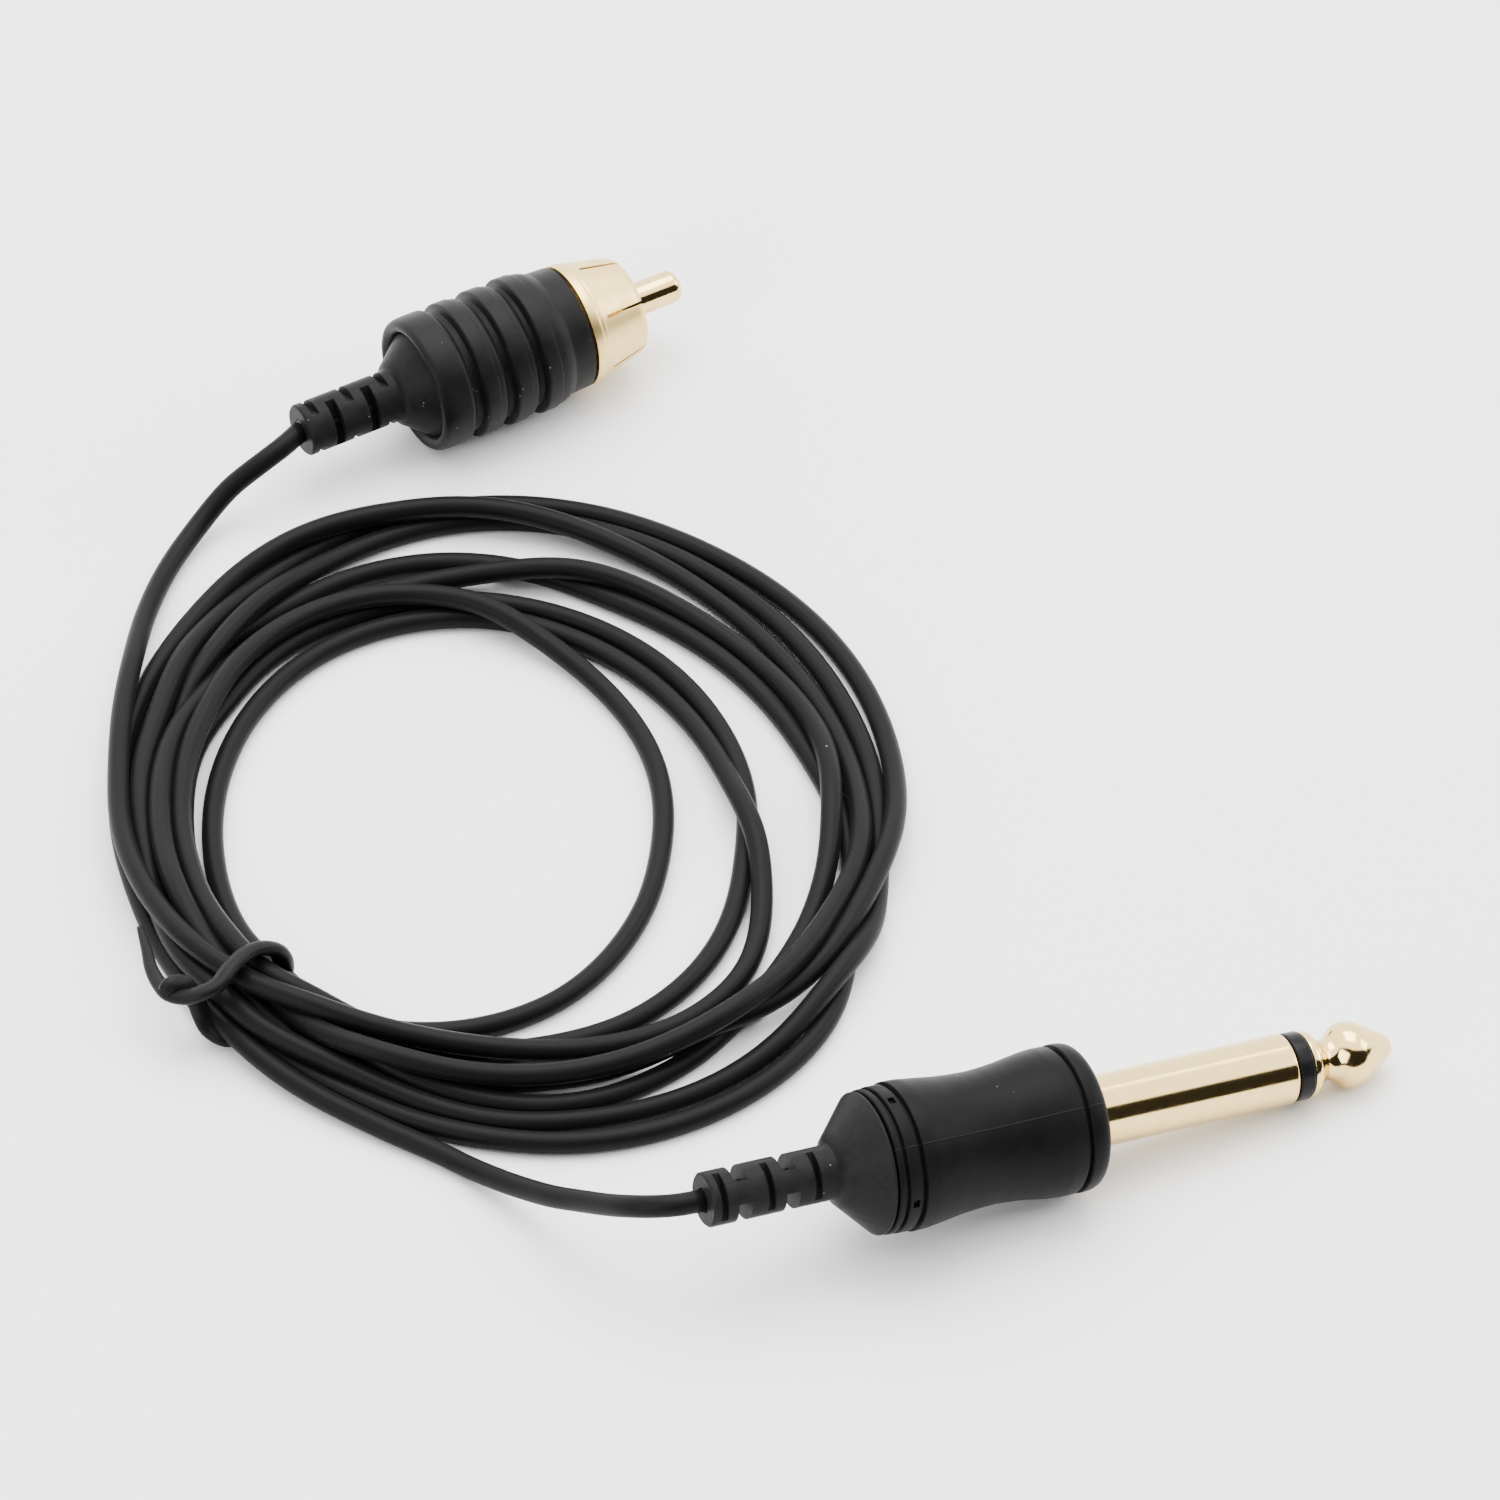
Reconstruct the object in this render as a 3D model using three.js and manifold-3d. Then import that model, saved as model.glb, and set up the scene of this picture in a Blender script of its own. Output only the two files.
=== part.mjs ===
// Instrument cable: a gold-plated phono plug and a 6.35 mm mono jack plug on the two ends of one
// thin cord, which is coiled and held with a plastic-coated wire tie. Units mm, +Z up, Z = 0 table.
// The cord and the tie are the part that stays still; each plug turns about the upright line
// through the middle of its ribbed boot.
import * as THREE from "three";
import { mergeVertices } from "three/addons/utils/BufferGeometryUtils.js";
import Module from "manifold-3d";

// ---------------------------------------------------------------- driving dimensions
const GAP = 0.3; // clearance between neighbouring pieces
const CORD_RADIUS = 1.0; // jacket of the cord
const CORD_BORE = CORD_RADIUS + GAP;
const CORE_RADIUS = 0.6; // insulated conductor inside the jacket
const WIRE_RADIUS = 0.3; // bare copper strand bundle
const LARGE_SEGMENTS = 40; // facets round a plug body
const SMALL_SEGMENTS = 24; // facets round thin pieces

// phono plug, lengths along its axis from the front face of the grip, + towards the pin
const PHONO_PLACE = [-23.8, 55.0, 6.6];
const PHONO_YAW = 30.2;
const PHONO_MOUTH = -28.4; // where the cord goes into the boot
const PHONO_BOOT_RADIUS = 2.5;
const PHONO_PIN_RADIUS = 1.6;
const PHONO_PIN_END = 11.95;
const PHONO_SHELL_END = 6.3;
const PHONO_SHELL_BORE = 4.2;
const PHONO_SLOTS = 6; // slots that let the shell spring open
// cuts in the boot: distance from the mouth, in two families a quarter turn apart
const PHONO_BOOT_CUTS = [
  { turn: 48.8, at: [1.15, 4.85, 8.5] },
  { turn: 138.8, at: [3.0, 6.7] },
];

// 6.35 mm jack plug, lengths from the front face of its flange, + towards the tip
const JACK_PLACE = [22.24, -45.78, 6.374];
const JACK_YAW = 23.74;
const JACK_TILT = 7.58; // it rests on the rim of the flange and on the ball of the tip
const JACK_MOUTH = -36.2;
const JACK_BOOT_RADIUS = 2.4;
const JACK_SLEEVE_RADIUS = 3.175;
const JACK_SLEEVE_END = 19.85;
const JACK_ROD_RADIUS = 1.2;
const JACK_BOOT_CUTS = [
  { turn: 44.3, at: [3.5, 7.85] },
  { turn: 134.3, at: [1.3, 5.7, 10.05] },
];

const BOOT_CUT_WIDTH = 0.8;
const BOOT_CORE_HALF = 1.1; // half of what is left between two facing cuts

// coil of cord: eight turns laid on the table, bound at one place
const COIL_CENTRE = [-29.2, -0.76];
const COIL_TOP = 4.5;
const NECK_ANGLE = 229.5; // where the tie squeezes the turns together
const NECK_BOTTOM = 1.7;
const NECK_TOP = 6.5;
const NECK_FLAT = 6; // degrees each side of the tie at full height
const NECK_FADE = 9; // degrees over which the neck fades back into the coil
const COIL_CHAMFER = 1.0;
// [angle, inner radius, outer radius] of the outline the turns fill
const COIL_OUTLINE = [
  [229.5, 30.6, 39.7], [250, 31.0, 41.2], [280, 26.8, 46.0], [310, 19.0, 44.4],
  [340, 13.6, 37.8], [370, 12.0, 36.5], [400, 12.6, 36.4], [430, 15.6, 36.7],
  [460, 21.6, 37.4], [490, 23.8, 37.8], [520, 24.0, 36.4], [550, 25.0, 36.0],
];

// cord from the phono boot to the coil, and from the coil to the jack boot
const PHONO_ROUTE = [
  [-48.62, 40.56, 6.6], [-50.0, 39.1, 6.3], [-52.0, 37.6, 5.4], [-54.9, 35.85, 3.6],
  [-57.8, 32.75, 1.9], [-60.5, 27.55, 1.3], [-62.3, 20.9, 1.7], [-63.0, 17.4, 2.2],
];
const JACK_ROUTE = [
  [-31.9, -46.8, 1.15], [-28.8, -49.15, 1.9], [-26.5, -51.25, 3.0], [-23.7, -53.95, 4.8],
  [-21.2, -56.05, 6.5], [-18.6, -58.35, 8.5], [-15.1, -60.35, 10.6], [-12.6, -60.85, 11.4],
  [-11.0, -60.35, 11.25],
];

// plastic-coated wire tie
const TIE_RADIUS = 0.65;
const TIE_CORNER = 2.2;
const TIE_TAIL = [
  // [angle, radius, height] about the centre of the coil
  [228.5, 42.4, 5.4], [226, 43.6, 5.3], [223.6, 44.2, 5.0], [221.3, 43.9, 4.9],
  [218.5, 42.4, 5.0], [215.5, 40.7, 5.2], [213, 39.4, 5.2],
];

// ---------------------------------------------------------------- colours
const finish = {
  rubber: { color: 0x1b1b1d, roughness: 0.75, metalness: 0 },
  blackPlastic: { color: 0x141416, roughness: 0.4, metalness: 0 },
  cordJacket: { color: 0x17171a, roughness: 0.55, metalness: 0 },
  gold: { color: 0xd8c79a, roughness: 0.2, metalness: 1 },
  copper: { color: 0xb87850, roughness: 0.35, metalness: 1 },
  palePlastic: { color: 0xd9d6cc, roughness: 0.5, metalness: 0 },
  insulation: { color: 0xe9e6dd, roughness: 0.5, metalness: 0 },
};

const wasm = await Module();
wasm.setup();

const root = new THREE.Group();
root.name = "instrument_cable";

function addMesh(parent, name, geometry, look) {
  const mesh = new THREE.Mesh(geometry, new THREE.MeshStandardMaterial(look));
  mesh.name = name;
  parent.add(mesh);
  return mesh;
}

// A turned piece along X from a profile of [distance along the axis, radius].
function turned(profile, segments) {
  const points = profile.map(([along, radius]) => new THREE.Vector2(radius, along));
  return new THREE.LatheGeometry(points, segments).rotateZ(-Math.PI / 2);
}

function solid(profile, segments) {
  const first = profile[0][0];
  const last = profile[profile.length - 1][0];
  return turned([[first, 0], ...profile, [last, 0]], segments);
}

// outside and bore both run from the rear to the front
function hollow(outside, bore, segments) {
  return turned([...outside, ...[...bore].reverse(), outside[0]], segments);
}

function toManifold(geometry) {
  const bare = geometry.clone();
  bare.deleteAttribute("normal");
  bare.deleteAttribute("uv");
  const merged = mergeVertices(bare, 1e-4);
  return new wasm.Manifold(
    new wasm.Mesh({
      numProp: 3,
      vertProperties: merged.attributes.position.array,
      triVerts: new Uint32Array(merged.index.array),
    }),
  );
}

function cut(geometry, cutters) {
  let result = toManifold(geometry);
  for (const cutter of cutters) result = result.subtract(toManifold(cutter));
  const mesh = result.getMesh();
  const out = new THREE.BufferGeometry();
  out.setAttribute("position", new THREE.BufferAttribute(mesh.vertProperties, 3));
  out.setIndex(new THREE.BufferAttribute(mesh.triVerts, 1));
  out.computeVertexNormals();
  return out;
}

function box(length, width, height, x, y, z) {
  return new THREE.BoxGeometry(length, width, height).translate(x, y, z);
}

// A round cord along a smooth line through the points, built as an extruded circle.
function roundTube(points, radius, steps) {
  const shape = new THREE.Shape();
  const sides = 8;
  for (let i = 0; i < sides; i += 1) {
    const a = (i / sides) * 2 * Math.PI;
    const corner = [radius * Math.cos(a), radius * Math.sin(a)];
    if (i === 0) shape.moveTo(...corner);
    else shape.lineTo(...corner);
  }
  const line = new THREE.CatmullRomCurve3(points.map((p) => new THREE.Vector3(...p)));
  return new THREE.ExtrudeGeometry(shape, { steps, extrudePath: line, curveSegments: 1 });
}

// Pairs of slabs that cut a boot from two opposite sides.
function bootCutters(mouth, radius, families) {
  const reach = radius + 1;
  const depth = reach - BOOT_CORE_HALF;
  const middle = (reach + BOOT_CORE_HALF) / 2;
  const cutters = [];
  for (const { turn, at } of families) {
    for (const along of at) {
      for (const side of [-1, 1]) {
        const slab = box(BOOT_CUT_WIDTH, depth, 2 * reach, mouth + along, side * middle, 0);
        cutters.push(slab.rotateX(THREE.MathUtils.degToRad(turn)));
      }
    }
  }
  return cutters;
}

// ---------------------------------------------------------------- phono plug
const phono = new THREE.Group();
phono.name = "phono_plug";
phono.position.set(...PHONO_PLACE);
phono.rotation.set(0, 0, THREE.MathUtils.degToRad(PHONO_YAW));
root.add(phono);

// ribbed grip: four raised bands with grooves between, a rounded lip behind, a collar in front
const phonoGripOutside = [
  [-17.1, 5.8], [-17.1, 6.0], [-16.75, 6.35], [-16.1, 6.53], [-13.1, 6.53],
  [-12.85, 6.1], [-12.35, 6.1], [-12.05, 6.54], [-9.75, 6.54],
  [-9.5, 6.1], [-9.0, 6.1], [-8.75, 6.57], [-6.4, 6.57],
  [-6.15, 6.15], [-5.7, 6.15], [-5.5, 6.6], [-3.3, 6.6],
  [-2.8, 6.5], [-2.4, 6.05], [-0.15, 5.93],
];
const phonoGripBore = [[-17.1, 5.8], [-15.1, 5.8], [-15.1, 5.2], [-0.15, 5.2]];
addMesh(phono, "phono_grip",
  hollow(phonoGripOutside.slice(1), phonoGripBore, LARGE_SEGMENTS), finish.rubber);

// spring shell: flange, taper and six slots
const phonoShellOutside = [
  [-6.0, 4.9], [0.15, 4.9], [0.15, 5.93], [1.0, 5.93], [1.6, 5.72],
  [5.9, 4.75], [PHONO_SHELL_END, 4.55],
];
const phonoShellBore = [[-6.0, PHONO_SHELL_BORE], [PHONO_SHELL_END, PHONO_SHELL_BORE]];
const shellSlots = [];
for (let i = 0; i < PHONO_SLOTS; i += 1) {
  const slot = box(5.0, 3.0, 0.4, 4.6, 5.2, 0);
  slot.rotateX(((19 + (360 / PHONO_SLOTS) * i) * Math.PI) / 180);
  shellSlots.push(slot);
}
addMesh(phono, "phono_shell",
  cut(hollow(phonoShellOutside, phonoShellBore, LARGE_SEGMENTS), shellSlots), finish.gold);

// insulating disc between the shell and the pin
addMesh(phono, "phono_insulator",
  hollow([[-3.2, 3.9], [1.2, 3.9]], [[-3.2, 1.9], [1.2, 1.9]], LARGE_SEGMENTS),
  finish.palePlastic);

// centre pin with the thinner solder tail behind
addMesh(phono, "phono_centre_pin",
  solid([[-8.4, 1.1], [-3.4, 1.1], [-3.4, PHONO_PIN_RADIUS], [11.15, PHONO_PIN_RADIUS],
    [11.6, 1.4], [11.85, 1.05], [PHONO_PIN_END, 0.6]], SMALL_SEGMENTS), finish.gold);

// the shell's solder tab, where the braid ends
addMesh(phono, "phono_ground_lug", box(4.6, 2.2, 0.5, -8.6, 0, -3.2), finish.gold);

// moulded inner sleeve that fills the grip round the solder joints
addMesh(phono, "phono_inner_moulding",
  hollow([[-14.8, 4.9], [-6.3, 4.9]], [[-14.8, 4.1], [-6.3, 4.1]], LARGE_SEGMENTS),
  finish.palePlastic);

// boot: cone that sits in the back of the grip and a cut tail round the cord
addMesh(phono, "phono_strain_relief",
  cut(hollow([[PHONO_MOUTH, PHONO_BOOT_RADIUS], [-19.1, PHONO_BOOT_RADIUS], [-15.4, 5.5]],
    [[PHONO_MOUTH, CORD_BORE], [-15.4, CORD_BORE]], LARGE_SEGMENTS),
  bootCutters(PHONO_MOUTH, PHONO_BOOT_RADIUS, PHONO_BOOT_CUTS)), finish.blackPlastic);

// end of the cord inside the plug: jacket, insulated core, bare conductor, twisted braid
addMesh(phono, "phono_cord_end",
  hollow([[PHONO_MOUTH, CORD_RADIUS], [-13.8, CORD_RADIUS]],
    [[PHONO_MOUTH, CORE_RADIUS + 0.1], [-13.8, CORE_RADIUS + 0.1]], SMALL_SEGMENTS),
  finish.cordJacket);
addMesh(phono, "phono_core",
  hollow([[PHONO_MOUTH, CORE_RADIUS], [-10.6, CORE_RADIUS]],
    [[PHONO_MOUTH, WIRE_RADIUS + 0.1], [-10.6, WIRE_RADIUS + 0.1]], SMALL_SEGMENTS),
  finish.insulation);
addMesh(phono, "phono_conductor",
  solid([[PHONO_MOUTH, WIRE_RADIUS], [-8.7, WIRE_RADIUS]], SMALL_SEGMENTS), finish.copper);
addMesh(phono, "phono_braid_tail",
  roundTube([[-13.4, 0, -1.2], [-12.6, 0, -2.0], [-11.3, 0, -2.5], [-9.2, 0, -2.55]], 0.35, 6),
  finish.copper);

// ---------------------------------------------------------------- jack plug
const jack = new THREE.Group();
jack.name = "jack_plug";
jack.position.set(...JACK_PLACE);
jack.rotation.set(0, THREE.MathUtils.degToRad(JACK_TILT), THREE.MathUtils.degToRad(JACK_YAW),
  "ZYX");
root.add(jack);

// waisted grip: two bands behind, a long hollow waist, a groove and the front flange
const jackGripOutside = [
  [-20.5, 6.45], [-19.9, 6.45], [-19.75, 6.25], [-19.6, 6.47], [-18.3, 6.47],
  [-18.15, 6.25], [-17.95, 6.6], [-16.7, 6.57], [-15.6, 6.42], [-14.4, 6.26],
  [-13.3, 6.1], [-12.2, 6.0], [-11.1, 5.93], [-9.7, 5.9], [-8.3, 5.98],
  [-7.1, 6.11], [-6.0, 6.28], [-4.9, 6.45], [-3.8, 6.59], [-2.5, 6.55],
  [-2.3, 6.15], [-2.05, 6.15], [-2.0, 6.59], [-1.2, 6.59], [-0.55, 6.4],
  [-0.15, 5.95], [0, 5.4],
];
const jackGripBore = [
  [-20.5, 5.6], [-2.2, 5.6], [-2.2, JACK_SLEEVE_RADIUS + GAP], [0, JACK_SLEEVE_RADIUS + GAP],
];
addMesh(jack, "jack_grip",
  hollow(jackGripOutside, jackGripBore, LARGE_SEGMENTS), finish.blackPlastic);

// ground sleeve with the collar that holds it in the grip
addMesh(jack, "jack_sleeve",
  hollow([[-6.0, 5.0], [-2.5, 5.0], [-2.5, JACK_SLEEVE_RADIUS],
    [19.45, JACK_SLEEVE_RADIUS], [JACK_SLEEVE_END, 3.0]],
  [[-6.0, 2.5], [JACK_SLEEVE_END, 2.5]], LARGE_SEGMENTS), finish.gold);
addMesh(jack, "jack_inner_sleeve",
  hollow([[-6.0, 2.2], [19.75, 2.2]], [[-6.0, 1.5], [19.75, 1.5]], SMALL_SEGMENTS),
  finish.palePlastic);

// black ring between the sleeve and the tip
addMesh(jack, "jack_insulator_ring",
  hollow([[20.15, 3.08], [21.7, 3.08]], [[20.15, 1.5], [21.7, 1.5]], LARGE_SEGMENTS),
  finish.blackPlastic);

// tip contact, one piece with the rod that runs back through the sleeve
addMesh(jack, "jack_tip",
  solid([[-12.0, JACK_ROD_RADIUS], [22.0, JACK_ROD_RADIUS], [22.0, 2.99], [22.5, 2.68],
    [23.1, 2.21], [23.7, 2.06], [24.3, 2.3], [24.8, 2.65], [25.4, 2.91], [26.0, 2.97],
    [26.6, 2.89], [27.1, 2.59], [27.7, 2.16], [28.3, 1.81], [28.9, 1.37], [29.6, 0.9],
    [30.05, 0.5]], LARGE_SEGMENTS), finish.gold);

addMesh(jack, "jack_rear_washer",
  hollow([[-7.8, 5.0], [-6.3, 5.0]], [[-7.8, 1.5], [-6.3, 1.5]], LARGE_SEGMENTS),
  finish.palePlastic);

// ring terminal pressed on the end of the rod, with a solder ear
addMesh(jack, "jack_tip_terminal",
  hollow([[-9.4, 2.6], [-8.1, 2.6]], [[-9.4, 1.5], [-8.1, 1.5]], SMALL_SEGMENTS), finish.gold);

// long ground strip beside the joints, with its end bent to hold the cord
addMesh(jack, "jack_sleeve_terminal", box(8.0, 2.6, 0.5, -12.3, 0, -3.6), finish.gold);

addMesh(jack, "jack_inner_moulding",
  hollow([[-18.6, 5.3], [-8.1, 5.3]], [[-18.6, 4.5], [-8.1, 4.5]], LARGE_SEGMENTS),
  finish.palePlastic);

// boot: cone screwed into the grip and a cut tail round the cord
addMesh(jack, "jack_strain_relief",
  cut(hollow([[JACK_MOUTH, JACK_BOOT_RADIUS], [-24.65, JACK_BOOT_RADIUS], [-20.8, 6.35]],
    [[JACK_MOUTH, CORD_BORE], [-20.8, CORD_BORE]], LARGE_SEGMENTS),
  bootCutters(JACK_MOUTH, JACK_BOOT_RADIUS, JACK_BOOT_CUTS)), finish.blackPlastic);

addMesh(jack, "jack_cord_end",
  hollow([[JACK_MOUTH, CORD_RADIUS], [-18.0, CORD_RADIUS]],
    [[JACK_MOUTH, CORE_RADIUS + 0.1], [-18.0, CORE_RADIUS + 0.1]], SMALL_SEGMENTS),
  finish.cordJacket);
addMesh(jack, "jack_core",
  hollow([[JACK_MOUTH, CORE_RADIUS], [-14.4, CORE_RADIUS]],
    [[JACK_MOUTH, WIRE_RADIUS + 0.1], [-14.4, WIRE_RADIUS + 0.1]], SMALL_SEGMENTS),
  finish.insulation);
addMesh(jack, "jack_conductor",
  solid([[JACK_MOUTH, WIRE_RADIUS], [-12.3, WIRE_RADIUS]], SMALL_SEGMENTS), finish.copper);
addMesh(jack, "jack_braid_tail",
  roundTube([[-17.7, 0, -1.2], [-17.0, 0, -2.1], [-15.6, 0, -2.8], [-13.0, 0, -2.95]], 0.35, 6),
  finish.copper);

// ---------------------------------------------------------------- cord
addMesh(root, "phono_lead", roundTube(PHONO_ROUTE, CORD_RADIUS, 16), finish.cordJacket);
addMesh(root, "jack_lead", roundTube(JACK_ROUTE, CORD_RADIUS, 16), finish.cordJacket);

// The outline of the coil as one closed ring: a chamfered section swept round, lifted and
// narrowed where the tie goes underneath.
function neckShare(angle) {
  const away = Math.abs(angle - NECK_ANGLE);
  const fromNeck = Math.min(away, 360 - away);
  return THREE.MathUtils.clamp(1 - (fromNeck - NECK_FLAT) / NECK_FADE, 0, 1);
}

function coilRing() {
  const count = 72; // sections round the ring
  // radius at an angle, eased between the listed stations
  const radiusAt = (angle, column) => {
    const stations = [...COIL_OUTLINE, [NECK_ANGLE + 360, COIL_OUTLINE[0][1], COIL_OUTLINE[0][2]]];
    const next = stations.findIndex((s) => s[0] > angle);
    if (next < 0) return stations[0][column];
    const [a, b] = [stations[next - 1], stations[next]];
    const share = (angle - a[0]) / (b[0] - a[0]);
    const eased = share * share * (3 - 2 * share);
    return a[column] + (b[column] - a[column]) * eased;
  };
  const position = [];
  for (let i = 0; i < count; i += 1) {
    const angle = NECK_ANGLE + (360 / count) * i;
    const radians = (angle * Math.PI) / 180;
    const neck = neckShare(angle % 360);
    const low = NECK_BOTTOM * neck;
    const high = COIL_TOP + (NECK_TOP - COIL_TOP) * neck;
    const inner = radiusAt(angle, 1);
    const outer = radiusAt(angle, 2);
    const section = [
      [inner + COIL_CHAMFER, low], [outer - COIL_CHAMFER, low],
      [outer, low + COIL_CHAMFER], [outer, high - COIL_CHAMFER],
      [outer - COIL_CHAMFER, high], [inner + COIL_CHAMFER, high],
      [inner, high - COIL_CHAMFER], [inner, low + COIL_CHAMFER],
    ];
    for (const [r, z] of section) {
      position.push(r * Math.cos(radians), r * Math.sin(radians), z);
    }
  }
  const index = [];
  for (let i = 0; i < count; i += 1) {
    for (let j = 0; j < 8; j += 1) {
      const here = i * 8;
      const there = ((i + 1) % count) * 8;
      const k = (j + 1) % 8;
      index.push(here + j, there + j, there + k);
      index.push(here + j, there + k, here + k);
    }
  }
  const ring = new THREE.BufferGeometry();
  ring.setAttribute("position", new THREE.BufferAttribute(new Float32Array(position), 3));
  ring.setIndex(index);
  ring.computeVertexNormals();
  return ring;
}
const coil = addMesh(root, "cord_coil", coilRing(), finish.cordJacket);
coil.position.set(...COIL_CENTRE, 0);

// ---------------------------------------------------------------- wire tie
// A ring of wire standing across the neck of the coil, with rounded corners.
function tieLoop() {
  const inner = COIL_OUTLINE[0][1] - GAP - TIE_RADIUS;
  const outer = COIL_OUTLINE[0][2] + GAP + TIE_RADIUS;
  const low = TIE_RADIUS + 0.05;
  const high = NECK_TOP + GAP + TIE_RADIUS;
  const corners = [
    [outer, low], [outer, high], [inner, high], [inner, low],
  ];
  const middle = [(inner + outer) / 2, (low + high) / 2];
  const position = [];
  const perCorner = 6;
  const sides = 8;
  for (let c = 0; c < 4; c += 1) {
    const [r, z] = corners[c];
    const towards = [Math.sign(middle[0] - r), Math.sign(middle[1] - z)];
    const centre = [r + towards[0] * TIE_CORNER, z + towards[1] * TIE_CORNER];
    for (let s = 0; s < perCorner; s += 1) {
      const turn = ((c - 1 + s / (perCorner - 1)) * Math.PI) / 2;
      for (let k = 0; k < sides; k += 1) {
        const a = (k / sides) * 2 * Math.PI;
        const reach = TIE_CORNER + TIE_RADIUS * Math.cos(a);
        position.push(
          centre[0] + reach * Math.cos(turn),
          TIE_RADIUS * Math.sin(a),
          centre[1] + reach * Math.sin(turn),
        );
      }
    }
  }
  const rings = 4 * perCorner;
  const index = [];
  for (let i = 0; i < rings; i += 1) {
    for (let k = 0; k < sides; k += 1) {
      const here = i * sides;
      const there = ((i + 1) % rings) * sides;
      const next = (k + 1) % sides;
      index.push(here + k, there + next, there + k);
      index.push(here + k, here + next, there + next);
    }
  }
  const loop = new THREE.BufferGeometry();
  loop.setAttribute("position", new THREE.BufferAttribute(new Float32Array(position), 3));
  loop.setIndex(index);
  loop.computeVertexNormals();
  return loop.rotateZ((NECK_ANGLE * Math.PI) / 180);
}
const tie = addMesh(root, "tie_loop", tieLoop(), finish.blackPlastic);
tie.position.set(...COIL_CENTRE, 0);

const tailPoints = TIE_TAIL.map(([angle, radius, height]) => {
  const a = (angle * Math.PI) / 180;
  return [
    COIL_CENTRE[0] + radius * Math.cos(a),
    COIL_CENTRE[1] + radius * Math.sin(a),
    height,
  ];
});
addMesh(root, "tie_tail", roundTube(tailPoints, TIE_RADIUS, 14), finish.blackPlastic);

export default root;
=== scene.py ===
import math

import bpy
import numpy as np
from mathutils import Euler, Matrix, Vector


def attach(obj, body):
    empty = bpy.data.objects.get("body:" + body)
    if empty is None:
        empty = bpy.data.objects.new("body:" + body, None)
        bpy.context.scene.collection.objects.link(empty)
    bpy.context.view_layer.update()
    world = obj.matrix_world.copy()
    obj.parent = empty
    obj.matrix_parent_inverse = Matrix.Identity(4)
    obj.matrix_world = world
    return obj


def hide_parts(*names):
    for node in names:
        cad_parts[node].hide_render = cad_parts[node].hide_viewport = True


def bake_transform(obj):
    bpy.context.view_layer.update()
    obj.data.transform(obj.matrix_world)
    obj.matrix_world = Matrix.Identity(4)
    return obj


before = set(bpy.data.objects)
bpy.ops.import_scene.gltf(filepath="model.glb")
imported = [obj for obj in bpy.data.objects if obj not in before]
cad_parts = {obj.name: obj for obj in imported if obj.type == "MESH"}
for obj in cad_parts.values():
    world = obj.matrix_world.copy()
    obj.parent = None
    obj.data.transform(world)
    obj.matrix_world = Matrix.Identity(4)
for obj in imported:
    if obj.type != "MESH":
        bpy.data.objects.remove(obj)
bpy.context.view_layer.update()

# ------------------------------------------------------------------ camera
# A long lens looking down at 45 degrees along +Y at the middle of the object.
CAMERA_DISTANCE = 0.905
CAMERA_PITCH = math.radians(45)
LENS_MM = 238.92
LOOK_AT = Vector((-0.0066, 0.00535, 0))

lens = bpy.data.cameras.new("camera")
lens.lens = LENS_MM
lens.sensor_width = 36
lens.clip_end = 20
camera = bpy.data.objects.new("camera", lens)
bpy.context.collection.objects.link(camera)
back_off = Vector((0, -math.cos(CAMERA_PITCH), math.sin(CAMERA_PITCH)))
camera.location = LOOK_AT + CAMERA_DISTANCE * back_off
camera.rotation_euler = Euler((math.pi / 2 - CAMERA_PITCH, 0, 0))
bpy.context.scene.camera = camera

# ------------------------------------------------------------------ cord
# Thin unbalanced audio cord, 2 mm across, with an extruded soft PVC jacket. It runs from the
# phono boot down to the table, through the wire tie, round eight loose turns and back through
# the tie, then up to the jack boot. Lengths in this section are millimetres until the mesh.
CORD_DIAMETER = 2.0
COIL_CENTRE = np.array([-29.2, -0.76])
TIE_ANGLE = 229.5
LAYER_HEIGHT = 1.9
SPACING = 1.0
MM = 0.001

phono_route = [
    (-48.34, 40.75, 6.6), (-49.9, 38.9, 6.35), (-51.9, 37.45, 5.6), (-54.9, 35.85, 3.8),
    (-57.8, 32.75, 1.9), (-60.5, 27.55, 1.2), (-62.3, 20.55, 1.6), (-63.0, 12.15, 2.9),
    (-63.2, 6.65, 3.1), (-62.9, 1.35, 3.3), (-62.1, -7.25, 3.8), (-60.8, -13.5, 4.4),
    (-58.9, -19.0, 5.0), (-56.3, -24.0, 5.4),
]
jack_route = [
    (-39.0, -42.05, 1.0), (-36.5, -43.55, 1.0), (-33.9, -45.15, 1.0), (-31.4, -46.95, 1.1),
    (-28.8, -49.15, 1.9), (-26.5, -51.25, 3.0), (-23.7, -53.95, 4.8), (-21.2, -56.05, 6.5),
    (-18.6, -58.48, 8.64), (-17.0, -59.77, 9.9), (-15.4, -60.53, 10.68), (-13.9, -60.82, 11.07),
    (-12.6, -60.79, 11.21), (-11.6, -60.57, 11.24), (-10.59, -60.22, 11.15),
]
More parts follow.
